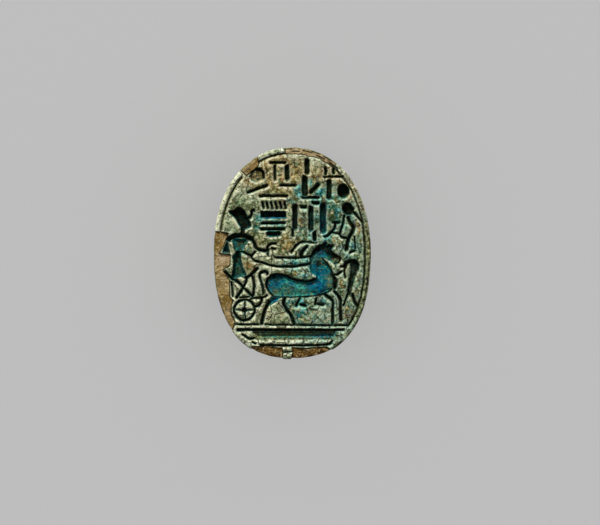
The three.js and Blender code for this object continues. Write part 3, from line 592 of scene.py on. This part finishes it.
    # Darker spots; the two on the horse's back, just under its top outline, are painted shade.
    face.spots("dark", (
        (2.5, -1.0, 0.5, 0.6), (-1.5, -2.6, 0.5, 0.48), (4.2, -0.45, 0.25, 0.45), (-0.15, 7.6, 0.2, 0.3),
        (2.5, 0.5, 0.4, 0.85), (3.1, 0.5, 0.4, 0.9), (3.5, 0.1, 0.35, 0.9), (3.9, -0.2, 0.35, 0.8),
        (2.1, 0.1, 0.3, 0.7), (-1.7, -2.35, 0.4, 0.5), (3.75, -2.0, 0.25, 0.6), (2.3, 3.1, 0.5, 0.46),
        (3.65, 3.5, 0.6, 0.42),
    ))
    face.spots("pale", (
        (-5.6, 3.0, 0.7, 0.7), (6.95, 3.5, 0.6, 0.5), (5.0, -7.9, 0.6, 0.5), (-5.0, 6.0, 0.9, 0.6),
        (-3.9, 5.2, 0.6, 0.6), (-4.5, -5.4, 1.0, 0.8), (-1.7, -5.6, 0.9, 0.35), (-3.4, -3.0, 0.8, 0.7),
        (-2.3, -1.6, 0.9, 0.6), (2.9, -5.8, 0.8, 0.7), (-6.6, -0.5, 0.7, 1.0), (-6.0, -5.6, 0.5, 0.6),
        (2.2, 9.2, 1.0, 1.0), (0.4, 9.6, 0.7, 0.9), (3.4, 8.7, 0.5, 0.6), (4.6, 1.9, 0.4, 0.7),
        (-4.5, -2.9, 0.5, 0.8), (-4.2, -7.6, 0.5, 0.9), (2.05, -2.2, 0.22, 1.0), (-1.5, -0.8, 0.9, 0.4),
        (-3.0, -0.2, 0.6, 0.5),
    ))
    face.band("pale", [(-5.2, -7.03), (4.9, -7.08)], 0.16, 0.9, 0.08)
    face.band("pale", [(-3.6, -8.42), (3.5, -8.44)], 0.34, 1.0, 0.08)
    face.band("pale", [(-0.5, 9.25), (0.8, 9.15), (2.2, 8.85), (3.4, 8.3)], 0.14, 1.0, 0.08)
    x, y, glazed = face.x, face.y, 1 - face.bare
    everywhere = slice(None)
    face.raise_mask("warm", everywhere, 0.85 * smooth_step(4.4, 6.4, y + 0.15 * x) * (1 - 0.55 * face.bare))
    face.raise_mask("turquoise", everywhere, 0.3 * smooth_step(-0.6, 1.2, x) * smooth_step(5.0, 3.8, y))
    face.raise_mask("turquoise", everywhere, 0.4 * smooth_step(0.0, 2.0, x) * smooth_step(-3.6, -4.6, y))
    angle = np.arctan2(y, x)
    degrees = np.degrees(angle)
    rim = smooth_step(0.7, 0.5, edge_radius(angle) - np.hypot(x, y))
    face.raise_mask("pale", everywhere, rim * smooth_step(56, 90, np.abs(degrees + 20)) * glazed)
    # Painted highlight: the left of the rim is made pale.
    face.painted_lit_rim = rim * smooth_step(110, 125, np.abs(degrees + 10)) * (1 - face.olive)
    face.raise_mask("olive", everywhere, rim * smooth_step(46, 24, np.abs(degrees + 11)))
    face.raise_mask("warm", everywhere, rim * smooth_step(24, 12, np.abs(degrees - 20)) * glazed)
    face.spots("olive", ((-5.1, -7.9, 0.5, 0.7),))


# ---------- the skin of the whole amulet ----------
def face_grid():
    """A grid of points over the unit disc, its faces, and the loop round its edge."""
    u, v = np.meshgrid(np.linspace(-1, 1, FACE_ACROSS + 1), np.linspace(-1, 1, FACE_ALONG + 1))
    x, y = (u * np.sqrt(1 - v * v / 2)).ravel(), (v * np.sqrt(1 - u * u / 2)).ravel()
    number = np.arange(x.size).reshape(u.shape)
    quads = np.stack([number[:-1, :-1], number[:-1, 1:], number[1:, 1:], number[1:, :-1]], axis=-1)
    loop = np.concatenate([number[0, :-1], number[:-1, -1], number[-1, :0:-1], number[:0:-1, 0]])
    return x, y, quads.reshape(-1, 4), loop


def side_profile():
    """Rows down the side: share of the outline, height, and how many of the loop's points make one."""
    rows = []
    for turn in (18, 36, 54, 72, 90):
        angle = math.radians(turn)
        share = 1 - (1 - FACE_SHARE) * (1 - math.sin(angle))
        rows.append((share, HEIGHT - RIM_ROUNDING * (1 - math.cos(angle)), 1))
    rows += [(1.0, z, 2) for z in (8.2, 8.0, 7.8, 7.6, 7.4, 7.25)]
    rows += [(0.997, 7.12, 2), (0.988, 7.02, 2), (0.972, PLATE_BOTTOM, 2), (0.95, 6.9, 2), (0.93, 6.82, 2)]
    rows += [(LEG_BAND_SHARE, float(z), 2) for z in np.linspace(LEG_BAND_TOP, 5.05, 13)]
    rows += [(0.935, 4.92, 2), (0.955, 4.8, 2), (0.967, 4.72, 2)]
    for step in range(DOME_ROWS + 1):
        angle = (1 - step / DOME_ROWS) * math.pi / 2
        share = FLAT_SPOT + (DOME_REACH - FLAT_SPOT) * math.sin(angle)
        rows.append((share, (1 - math.cos(angle)) * LEG_BAND_BOTTOM, 4 if step > 3 else 2))
    return rows + [(0.16, 0.0, 4), (0.08, 0.0, 4)]


def leg_bulge(degrees, z):
    """How far the legs stand out of the band under the base plate, from 0 to 1."""
    middle = (PLATE_BOTTOM + LEG_BAND_BOTTOM) / 2
    mirrored = np.where(np.abs(degrees) > 90, np.sign(degrees) * 180 - degrees, degrees)
    bulge = np.zeros_like(z)
    for start, end, lift in LEGS:
        path = [((start + (end - start) * i / 2) * SIDE_PER_DEGREE, middle + lift[i]) for i in range(3)]
        distance = stroke_distance(mirrored * SIDE_PER_DEGREE, z, flowing(path), 0, 0)
        round_back = np.sqrt(np.clip(1 - (distance / LEG_RADIUS) ** 2, 0, 1))
        bristles = 1 - 0.12 * (0.5 + 0.5 * np.sin(mirrored * 2.4)) * (distance < 0.45)
        bulge = np.maximum(bulge, round_back * bristles)
    return bulge


def back_lines(x, y):
    """Depth of the lines of the wing cases, thorax and head."""
    thorax = [(across, 3.4 + 0.4 * (across / 6.5) ** 2) for across in np.linspace(-7, 7, 15)]
    head = [(across, 6.6 + 1.0 * (across / 4.3) ** 2) for across in np.linspace(-5, 5, 13)]
    depth = np.zeros_like(x)
    for points, width in ((thorax, 0.4), (head, 0.45), ([(0, 3.3), (0, -9.8)], 0.36)):
        inside = -stroke_distance(x, y, points, width, width)
        depth = np.maximum(depth, BACK_LINE_DEPTH * smooth_step(0.02, 0.18, inside))
    return depth


def map_region(z):
    """Which part of the flat map a row of the side belongs to."""
    if z > HEIGHT - 0.35:
        return "face"
    return "side" if z > LEG_BAND_BOTTOM - 0.01 else "back"


def amulet_ring(radius, angle, z, travelled):
    """Points at one height: x, y, z, the level below the face, and the way travelled down the side."""
    levels = [np.full(angle.size, value) for value in (z, HEIGHT - z, travelled)]
    return np.stack([radius * np.cos(angle), radius * np.sin(angle), *levels])


def carved_amulet():
    """The whole amulet as one closed skin, still smooth, with its flat map."""
    unit_x, unit_y, quads, loop = face_grid()
    unit_angle = np.arctan2(unit_y, unit_x)
    radius = np.hypot(unit_x, unit_y) * edge_radius(unit_angle) * FACE_SHARE
    rings = [amulet_ring(radius, unit_angle, HEIGHT, 0.0)]
    faces, regions = [quads], ["face"]
    above, angle, keep = loop, unit_angle[loop], 1
    count, travelled = unit_x.size, 0.0
    last_share, last_z = FACE_SHARE, HEIGHT
    for share, z, wanted in side_profile():
        travelled += math.hypot((share - last_share) * MEAN_RADIUS, z - last_z)
        last_share, last_z = share, z
        if wanted > keep:
            angle = angle[::2]
            keep *= 2
        rings.append(amulet_ring(share * edge_radius(angle), angle, z, travelled))
        row = count + np.arange(angle.size)
        following = np.roll(row, -1)
        if above.size == row.size:
            joined = [(above, row, following, np.roll(above, -1))]
        else:
            first, middle, last = above[::2], above[1::2], np.roll(above[::2], -1)
            joined = [(first, row, middle), (middle, row, following), (middle, following, last)]
        faces += [np.stack(corners, axis=-1) for corners in joined]
        regions += [map_region(z)] * len(joined)
        above, count = row, count + row.size
    travelled += last_share * MEAN_RADIUS
    rings.append(amulet_ring(0.0, np.zeros(1), 0.0, travelled))
    faces.append(np.stack([above, np.full(above.size, count), np.roll(above, -1)], axis=-1))
    regions.append("back")
    x, y, z, level, travel = np.concatenate(rings, axis=1)
    return x, y, z, level, faces, bake_map(x, y, travel, faces, regions)


def bake_map(x, y, travel, faces, regions):
    """Where every corner lies on a flat map: the carved face and the back as discs, the side as a strip."""
    angle, radius = np.arctan2(y, x), np.hypot(x, y)
    edge = edge_radius(angle)
    outward = np.where(travel > 0, edge * FACE_SHARE + travel, radius)
    inward = (travel.max() - travel) * edge / MEAN_RADIUS
    side_end = travel[faces[-1 - regions[::-1].index("side")]].max()
    strip_foot, strip_height = SIDE_STRIP

    def disc(distance, middle_x, middle_y, scale):
        return middle_x + scale * distance * np.cos(angle), middle_y + scale * distance * np.sin(angle)

    maps = {
        "face": disc(outward, *FACE_DISC),
        "back": disc(inward, *BACK_DISC),
        "side": (angle / (2 * math.pi) + 0.5, strip_foot + strip_height * (1 - travel / side_end)),
    }
    corners = []
    for group, region in zip(faces, regions):
        across, up = maps[region][0][group], maps[region][1][group]
        if region == "side":
            wraps = np.ptp(across, axis=1) > 0.5
            across = (across + (wraps[:, None] & (across < 0.5))) * 0.98 + 0.005
        corners.append(np.stack([across, up], axis=-1).reshape(-1, 2))
    return np.concatenate(corners)


def shape_surface(x, y, z, level):
    """Carves the base, the legs and the back, and returns the new places and the masks of finish and painted
    light.
    """
    face = CarvedFace(x, y)
    for carve in (border_and_ground, horse, harness, driver, chariot, enemies, stroke_rows, chips):
        carve(face)
    glaze_stains_and_painted_light(face)
    face.soften_edges()

    on_top = level < TOP_REACH
    on_plate = (level < HEIGHT - LEG_BAND_TOP) & ~on_top
    upper = on_top | on_plate
    sideways = smooth_step(0.05, RIM_ROUNDING, level)
    fade = smooth_step(1.5, 0.6, level + 0.4 * layered_noise(x * 2, y * 2, 1.1, 71))
    unevenness = 0.02 * (1 + layered_noise(x, y, 2.2, 5)) + 0.016 * (1 + layered_noise(x, y, 0.32, 8))
    depth = face.depth * np.where(on_top, 1, fade) + unevenness
    inward = np.where(upper, np.maximum(depth - 0.8 * unevenness, 0) * sideways, 0)
    down = np.where(upper, depth * (1 - sideways), 0)

    angle, size = np.arctan2(y, x), np.hypot(x, y)
    band = (z < 6.9) & (z > 4.75)
    bulge = leg_bulge(np.degrees(angle), z) * band
    outward = bulge * LEG_RISE * edge_radius(angle)
    outward *= smooth_step(PLATE_BOTTOM, 6.6, z) * smooth_step(4.75, 5.0, z)

    dome = z < LEG_BAND_BOTTOM + 0.01
    to_middle = np.stack([-x, -y, LEG_BAND_BOTTOM - z])
    to_middle /= np.maximum(np.linalg.norm(to_middle, axis=0), 1e-6)
    sunk = np.where(dome, back_lines(x, y), 0)

    scale = np.where(size > 1e-6, (size - inward + outward) / np.maximum(size, 1e-6), 1)
    new_x = x * scale + to_middle[0] * sunk
    new_y = y * scale + to_middle[1] * sunk
    new_z = z - down + to_middle[2] * sunk

    # Darker in the sunk lines of the back and in the band under the plate between the legs: dirt and painted
    # shade in the recesses.
    side_dark = np.where(upper, 0, 0.8 * smooth_step(0.05, 0.2, sunk))
    side_dark = np.maximum(side_dark, np.where(band, 0.7 * (1 - smooth_step(0.1, 0.6, bulge)), 0))
    patches = layered_noise(x + z, y - z, 2.5, 91)
    below_top = {
        "dark": side_dark,
        "bare": face.bare * fade * on_plate,
        "turquoise": np.clip(0.2 + 0.6 * patches, 0, 1),
        "warm": np.clip(0.25 - 0.6 * patches, 0, 1),
        "hidden": smooth_step(0.3, 1.2, level),
        "plain": smooth_step(0.2, 0.9, level),
    }
    face.plain = 0.9 * smooth_step(0.0, 4.0, y)
    masks = {
        name: np.where(on_top, getattr(face, name), below_top.get(name, 0)) for name in CarvedFace.MASKS
    }
    return new_x, new_y, new_z, masks


def put_in_scene(name, data):
    thing = bpy.data.objects.new(name, data)
    bpy.context.scene.collection.objects.link(thing)
    return thing


def build_mesh(name, x, y, z, faces, masks, flat_map):
    mesh = bpy.data.meshes.new(name)
    places = np.stack([x, y, z], axis=-1) * MM
    mesh.from_pydata(places.tolist(), [], [corners for group in faces for corners in group.tolist()])
    mesh.uv_layers.new(name=BAKE_MAP).data.foreach_set("uv", flat_map.astype(np.float32).ravel())
    mesh.validate()
    for label, values in masks.items():
        layer = mesh.attributes.new(label, "FLOAT", "POINT")
        layer.data.foreach_set("value", values.astype(np.float32))
    mesh.shade_smooth()
    return mesh


def drill_bit():
    """A round cutter along the amulet, with its own place on the flat map."""
    bit = bmesh.new()
    flat_map = bit.loops.layers.uv.new(BAKE_MAP)
    radius = PERFORATION_DIAMETER / 2 * MM
    bmesh.ops.create_cone(bit, cap_ends=True, segments=32, radius1=radius, radius2=radius,
                          depth=(LENGTH + 2) * MM, calc_uvs=True)
    left, patch_width, foot, patch_height = BORE_PATCH
    for side in bit.faces:
        for corner in side.loops:
            across, up = corner[flat_map].uv
            corner[flat_map].uv = (left + patch_width * across, foot + patch_height * up)
    mesh = bpy.data.meshes.new("drill")
    bit.to_mesh(mesh)
    bit.free()
    cutter = put_in_scene("drill", mesh)
    cutter.location = (0, 0, PERFORATION_HEIGHT * MM)
    cutter.rotation_euler = (math.pi / 2, 0, 0)
    return cutter


def drilled(amulet):
    """Bores the stringing hole from head to tail; its wall is bare stone, darkened with dirt and painted
    shade.
    """
    cutter = drill_bit()
    cut = amulet.modifiers.new("hole", "BOOLEAN")
    cut.operation = "DIFFERENCE"
    cut.solver = "EXACT"
    cut.object = cutter
    bpy.context.view_layer.update()
    graph = bpy.context.evaluated_depsgraph_get()
    finished = bpy.data.meshes.new_from_object(amulet.evaluated_get(graph))
    amulet.modifiers.clear()
    amulet.data = finished
    bpy.data.meshes.remove(cutter.data)

    places = np.empty(len(finished.vertices) * 3, np.float32)
    finished.vertices.foreach_get("co", places)
    x, _, z = places.reshape(-1, 3).T / MM
    inside = np.hypot(x, z - PERFORATION_HEIGHT) < PERFORATION_DIAMETER / 2 + 0.01
    # The bore's wall: bare stone, darkened with dirt and painted shade.
    for label, share in (("bare", 1.0), ("dark", 0.85)):
        values = np.empty(len(finished.vertices), np.float32)
        layer = finished.attributes[label].data
        layer.foreach_get("value", values)
        layer.foreach_set("value", np.where(inside, share, values).astype(np.float32))


# ---------- finishes, with painted light and shade ---
def linear(red, green, blue):
    """A colour given in screen values from 0 to 255."""
    def channel(value):
        share = value / 255
        return share / 12.92 if share <= 0.04045 else ((share + 0.055) / 1.055) ** 2.4
    return (channel(red), channel(green), channel(blue), 1.0)


class Finish:
    """One material's nodes. Each call adds a node and hands back what comes out of it.

    A value given by name is one of the noises below, or else a mask painted on the mesh.
    """

    def __init__(self, name):
        self.material = bpy.data.materials.new(name)
        self.material.use_nodes = True
        self.tree = self.material.node_tree
        self.tree.nodes.clear()
        place = self.add("ShaderNodeTexCoord").outputs["Object"]
        self.coords = self.add("ShaderNodeMapping", {"Vector": place, "Scale": (1 / MM,) * 3}).outputs[0]
        self.named = {
            "broad": self.noise(0.5, 3, 0.6),
            "mottled": self.noise(2.4, 6, 0.75),
            "grain": self.noise(4.2, 3, 0.7, (7, 3, 5)),
            "specks": self.noise(4.8, 2, 0.6, (53, 29, 5)),
            "patches": self.noise(2.0, 5, 0.7, (31, 17, 5)),
            "flecks": self.noise(3.2, 3, 0.6, (11, 41, 5)),
            "dust": self.noise(7.5, 2, 0.5, (19, 67, 5)),
        }

    def add(self, kind, inputs=None, **settings):
        made = self.tree.nodes.new(kind)
        for key, value in settings.items():
            setattr(made, key, value)
        for key, value in (inputs or {}).items():
            if isinstance(value, str):
                value = self.value_named(value)
            if isinstance(value, bpy.types.NodeSocket):
                self.tree.links.new(value, made.inputs[key])
            else:
                made.inputs[key].default_value = value
        return made

    def value_named(self, name):
        if name not in self.named:
            self.named[name] = self.add("ShaderNodeAttribute", attribute_name=name).outputs["Fac"]
        return self.named[name]

    def noise(self, scale, detail, roughness, shift=None):
        coords = self.coords
        if shift:
            coords = self.add("ShaderNodeMapping", {"Vector": coords, "Location": shift}).outputs[0]
        return self.add("ShaderNodeTexNoise", {"Vector": coords, "Scale": scale, "Detail": detail,
                                               "Roughness": roughness}).outputs["Fac"]

    def math(self, operation, *values, clamp=False):
        made = self.add("ShaderNodeMath", dict(enumerate(values)), operation=operation, use_clamp=clamp)
        return made.outputs[0]

    def times(self, first, second):
        return self.math("MULTIPLY", first, second)

    def between(self, value, low_end, high_end):
        """0 at low_end, 1 at high_end, smooth between them."""
        return self.add("ShaderNodeMapRange", {"Value": value, "From Min": low_end, "From Max": high_end},
                        interpolation_type="SMOOTHSTEP").outputs["Result"]

    def patchy(self, share, value, start, end):
        """A share that holds only where value lies past start, and wholly past end."""
        return self.math("MULTIPLY", share, self.between(value, start, end), clamp=True)

    def ragged(self, name, amount):
        """A mask whose edge the grain breaks up."""
        return self.math("ADD", name, self.math("MULTIPLY_ADD", "grain", amount, -amount / 2))

    def mixed(self, share, under, over):
        under, over = (linear(*colour) if isinstance(colour, tuple) else colour for colour in (under, over))
        return self.add("ShaderNodeMix", {0: share, 6: under, 7: over}, data_type="RGBA").outputs[2]

    def speckled(self, colour, *specks):
        """Specks on a colour: where value lies past start, up to end, in a tone, with a share."""
        for value, start, end, tone, share in specks:
            colour = self.mixed(self.times(self.between(value, start, end), share), colour, tone)
        return colour

    def ramp(self, value, stops):
        """A run of colours: where each stands on value, and its screen colour."""
        made = self.add("ShaderNodeValToRGB", {"Fac": value})
        elements = made.color_ramp.elements
        while len(elements) < len(stops):
            elements.new(0.5)
        for element, (position, colour) in zip(elements, stops):
            element.position = position
            element.color = linear(*colour)
        return made.outputs["Color"]

    def layer(self, stops, *specks):
        return self.speckled(self.ramp("mottled", stops), *specks)


def ground_glaze(glaze):
    """The cream, brown, pale, turquoise and olive of the ground, with worn edges and painted highlights on
    them.
    """
    colour = glaze.layer(
        ((0.37, (12, 31, 8)), (0.45, (54, 81, 40)), (0.54, (103, 127, 82)), (0.63, (174, 184, 143))),
        ("grain", 0.42, 0.37, (26, 34, 6), 0.9),
        ("grain", 0.58, 0.63, (212, 208, 172), 0.85),
        ("specks", 0.6, 0.64, (126, 92, 40), 0.65),
    )
    warm = glaze.layer(
        ((0.37, (40, 24, 2)), (0.46, (104, 82, 30)), (0.55, (160, 131, 66)), (0.63, (214, 190, 134))),
        ("grain", 0.42, 0.35, (46, 24, 6), 0.85),
        ("specks", 0.6, 0.66, (154, 82, 28), 0.8),
    )
    pale = glaze.layer(
        ((0.36, (126, 134, 96)), (0.5, (180, 188, 152)), (0.62, (222, 224, 200))),
        ("grain", 0.42, 0.35, (92, 86, 42), 0.8),
    )
    turquoise = glaze.layer(
        ((0.38, (0, 30, 26)), (0.46, (0, 78, 68)), (0.54, (36, 124, 112)), (0.63, (128, 200, 190))),
        ("grain", 0.43, 0.36, (2, 22, 14), 0.85),
        ("specks", 0.57, 0.64, (0, 110, 144), 0.85),
    )
    olive = glaze.layer(
        ((0.38, (32, 32, 6)), (0.5, (84, 93, 48)), (0.62, (150, 156, 106))),
        ("grain", 0.44, 0.38, (24, 14, 0), 0.9),
        ("grain", 0.57, 0.62, (190, 180, 130), 0.7),
    )
    warm_share = glaze.math("MULTIPLY_ADD", "warm", 0.8, 0.12)
    colour = glaze.mixed(glaze.patchy(warm_share, "patches", 0.34, 0.47), colour, warm)
    colour = glaze.mixed(glaze.patchy("pale", "patches", 0.34, 0.48), colour, pale)
    turquoise_share = glaze.math("ADD", "turquoise", 0.14)
    colour = glaze.mixed(glaze.patchy(turquoise_share, "patches", 0.6, 0.48), colour, turquoise)
    green_share = glaze.times(glaze.patchy("deep", "mottled", 0.66, 0.5), 0.85)
    colour = glaze.mixed(green_share, colour, (18, 70, 36))
    colour = glaze.speckled(
        colour,
        ("dust", 0.43, 0.35, (36, 32, 10), 0.55),
        ("dust", 0.59, 0.67, (216, 208, 168), 0.4),
    )
    colour = glaze.mixed(glaze.times("olive", 0.9), colour, olive)
    # Wear and painted highlight along the edges of cuts and on the left of the rim.
    worn_and_lit_share = glaze.times(glaze.patchy("worn_and_lit", "grain", 0.42, 0.5), 0.85)
    worn_and_lit = glaze.mixed("turquoise", (214, 212, 180), (118, 192, 172))
    return glaze.mixed(worn_and_lit_share, colour, worn_and_lit)


def pooled_glaze(glaze):
    """The blue-green that ran together in the deep parts."""
    pooled = glaze.ramp("mottled", ((0.37, (0, 34, 38)), (0.5, (0, 76, 84)), (0.61, (4, 120, 120))))
    pooled = glaze.mixed(glaze.patchy("light", "grain", 0.4, 0.55), pooled, (44, 164, 144))
    pooled = glaze.speckled(
        pooled,
        ("patches", 0.55, 0.62, (20, 86, 58), 0.9),
        ("grain", 0.6, 0.66, (70, 140, 104), 0.6),
        ("flecks", 0.56, 0.61, (96, 144, 88), 0.42),
        ("flecks", 0.45, 0.39, (0, 44, 56), 0.6),
        ("specks", 0.61, 0.65, (136, 124, 54), 0.6),
    )
    pooled = glaze.mixed(glaze.times("warm", 0.55), pooled, (58, 88, 62))
    pooled = glaze.mixed(glaze.patchy("warm", "grain", 0.48, 0.56), pooled, (104, 112, 60))
    deep = glaze.ramp("mottled", ((0.38, (0, 42, 68)), (0.5, (0, 80, 112)), (0.6, (0, 112, 140))))
    return glaze.mixed(glaze.times("deep", 0.85), pooled, deep)


def crackle_and_pits(glaze):
    """Fine cracks, which fade where the glaze is plain, pooled or lost, and small pits."""
    cracks = glaze.add("ShaderNodeTexVoronoi", {"Vector": glaze.coords, "Scale": 0.85},
                       feature="DISTANCE_TO_EDGE")
    lines = glaze.patchy(glaze.between(cracks.outputs["Distance"], 0.036, 0.014), "broad", 0.4, 0.5)
    lost = glaze.math("MAXIMUM", glaze.times("plain", 0.6), "bare")
    lost = glaze.math("MAXIMUM", glaze.times("pool", 0.75), lost)
    lines = glaze.times(lines, glaze.math("SUBTRACT", 1.0, lost))
    holes = glaze.add("ShaderNodeTexVoronoi", {"Vector": glaze.coords, "Scale": 1.9})
    pits = glaze.patchy(glaze.between(holes.outputs["Distance"], 0.16, 0.08), "flecks", 0.44, 0.5)
    return lines, pits


def bare_stone(glaze):
    """The tan stone under the glaze, darker where it's stained."""
    stone = glaze.ramp("broad", (
        (0.36, (106, 84, 34)), (0.48, (124, 102, 56)), (0.58, (134, 118, 80)), (0.66, (158, 140, 94)),
    ))
    stone = glaze.speckled(stone, ("mottled", 0.6, 0.68, (204, 190, 146), 0.8))
    stone = glaze.mixed(glaze.times("pale", 0.75), stone, (182, 164, 130))
    stained = glaze.ramp("mottled", (
        (0.36, (34, 20, 4)), (0.48, (76, 54, 20)), (0.58, (124, 98, 50)), (0.66, (176, 152, 100)),
    ))
    return glaze.speckled(
        glaze.mixed("warm", stone, stained),
        ("grain", 0.56, 0.62, (206, 188, 146), 0.5),
        ("flecks", 0.56, 0.64, (92, 66, 30), 0.8),
        ("grain", 0.4, 0.32, (46, 32, 10), 0.8),
    )


def glazed_steatite():
    """Worn, stained and crackled glaze, bare stone in the chips, and dirt and painted shade in and beside the
    cuts.
    """
    glaze = Finish("worn_turquoise_glaze")
    pooled_share = glaze.between(glaze.ragged("pool", 1.2), 0.3, 0.62)
    colour = glaze.mixed(pooled_share, ground_glaze(glaze), pooled_glaze(glaze))
    lines, pits = crackle_and_pits(glaze)
    colour = glaze.mixed(glaze.times(lines, 0.75), colour, (44, 34, 12))
    colour = glaze.mixed(glaze.times(pits, 0.85), colour, (30, 26, 10))
    colour = glaze.mixed("bare", colour, bare_stone(glaze))
    colour = glaze.mixed(glaze.times("hidden", 0.42), colour, (114, 124, 86))
    # Dirt and painted shade, wherever the dark mask is: in the cuts, beside their upper edges and in the
    # painted shadows.
    dirt_and_shade = glaze.layer(
        ((0.4, (1, 3, 0)), (0.5, (8, 14, 4)), (0.58, (3, 30, 14)), (0.66, (0, 50, 38))),
        ("specks", 0.6, 0.66, (74, 38, 22), 0.5),
    )
    dirt_and_shade_share = glaze.times(glaze.between(glaze.ragged("dark", 0.9), 0.17, 0.58), 0.94)
    colour = glaze.mixed(dirt_and_shade_share, colour, dirt_and_shade)

    roughness = glaze.add("ShaderNodeMapRange", {"Value": "bare", "To Min": 0.42, "To Max": 0.85})
    height = glaze.math("SUBTRACT", glaze.times("grain", 0.6), lines)
    height = glaze.math("SUBTRACT", height, pits)
    bump = glaze.add("ShaderNodeBump", {"Height": height, "Strength": 1.0, "Distance": 0.00019})
    surface = glaze.add("ShaderNodeBsdfPrincipled", {
        "Base Color": colour, "Roughness": roughness.outputs["Result"], "Normal": bump.outputs[0],
        "Specular IOR Level": 0.03,
    })
    glaze.add("ShaderNodeOutputMaterial", {"Surface": surface.outputs[0]})
    return glaze.material


# ---------- the table, the light and the camera ----------
def table():
    mesh = bpy.data.meshes.new("table")
    reach = 1.5
    corners = [(across * reach, along * reach, 0) for across, along in ((-1, -1), (1, -1), (1, 1), (-1, 1))]
    mesh.from_pydata(corners, [], [(0, 1, 2, 3)])
    material = bpy.data.materials.new("pale_card")
    material.use_nodes = True
    surface = material.node_tree.nodes["Principled BSDF"]
    surface.inputs["Base Color"].default_value = (0.7, 0.7, 0.7, 1)
    surface.inputs["Roughness"].default_value = 0.9
    mesh.materials.append(material)
    top = put_in_scene("table", mesh)
    return top


def aim(thing, position, target):
    """Puts a thing at a position, looking at a target."""
    thing.location = position
    direction = [b - a for a, b in zip(position, target)]
    length = math.sqrt(sum(step * step for step in direction))
    tilt = math.acos(-direction[2] / length)
    turn = math.atan2(direction[0], -direction[1]) if tilt > 1e-6 else 0.0
    thing.rotation_euler = (tilt, 0, math.pi - turn if tilt > 1e-6 else 0.0)


def lamp(name, size, energy, position, target, lit):
    """A soft square lamp that lights one thing."""
    data = bpy.data.lights.new(name, "AREA")
    data.shape = "SQUARE"
    data.size = size
    data.energy = energy
    holder = put_in_scene(name, data)
    aim(holder, position, target)
    receivers = bpy.data.collections.new("lit_by_" + name)
    receivers.objects.link(lit)
    holder.light_linking.receiver_collection = receivers


def studio_light(scarab, top):
    world = bpy.data.worlds.new("studio")
    world.use_nodes = True
    sky = world.node_tree.nodes["Background"]
    sky.inputs["Color"].default_value = (1, 1, 1, 1)
    sky.inputs["Strength"].default_value = 0.3
    bpy.context.scene.world = world
    lamp("key", 0.13, 7.2, (-0.14, 0.52, 0.34), (0, 0, HEIGHT * MM), scarab)
    lamp("overhead", 0.05, 2.75, (0, 0.02, 0.8), (0, 0, 0), top)


def camera():
    """Looks nearly straight down on the base."""
    lens, sensor = 100.0, 36.0
    view_width = 56.98
    aim_x, aim_y = 0.74, -0.84
    lean_back, lean_left = math.radians(2.5), math.radians(0.8)
    data = bpy.data.cameras.new("camera")
    data.lens = lens
    data.sensor_width = sensor
    data.clip_start = 0.01
    eye = put_in_scene("camera", data)
    distance = lens / sensor * view_width
    eye.location = (
        (aim_x - distance * math.sin(lean_left)) * MM,
        (aim_y + distance * math.sin(lean_back)) * MM,
        (HEIGHT + distance * math.cos(lean_back)) * MM,
    )
    eye.rotation_euler = (-lean_back, -lean_left, 0)
    bpy.context.scene.camera = eye


camera()
top = table()
bpy.context.scene.view_settings.view_transform = "Standard"

x, y, z, level, faces, flat_map = carved_amulet()
x, y, z, masks = shape_surface(x, y, z, level)
scarab = put_in_scene("carved_scarab", build_mesh("carved_scarab", x, y, z, faces, masks, flat_map))
drilled(scarab)
scarab.data.materials.clear()
scarab.data.materials.append(glazed_steatite())
studio_light(scarab, top)
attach(scarab, "root")
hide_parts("scarab")
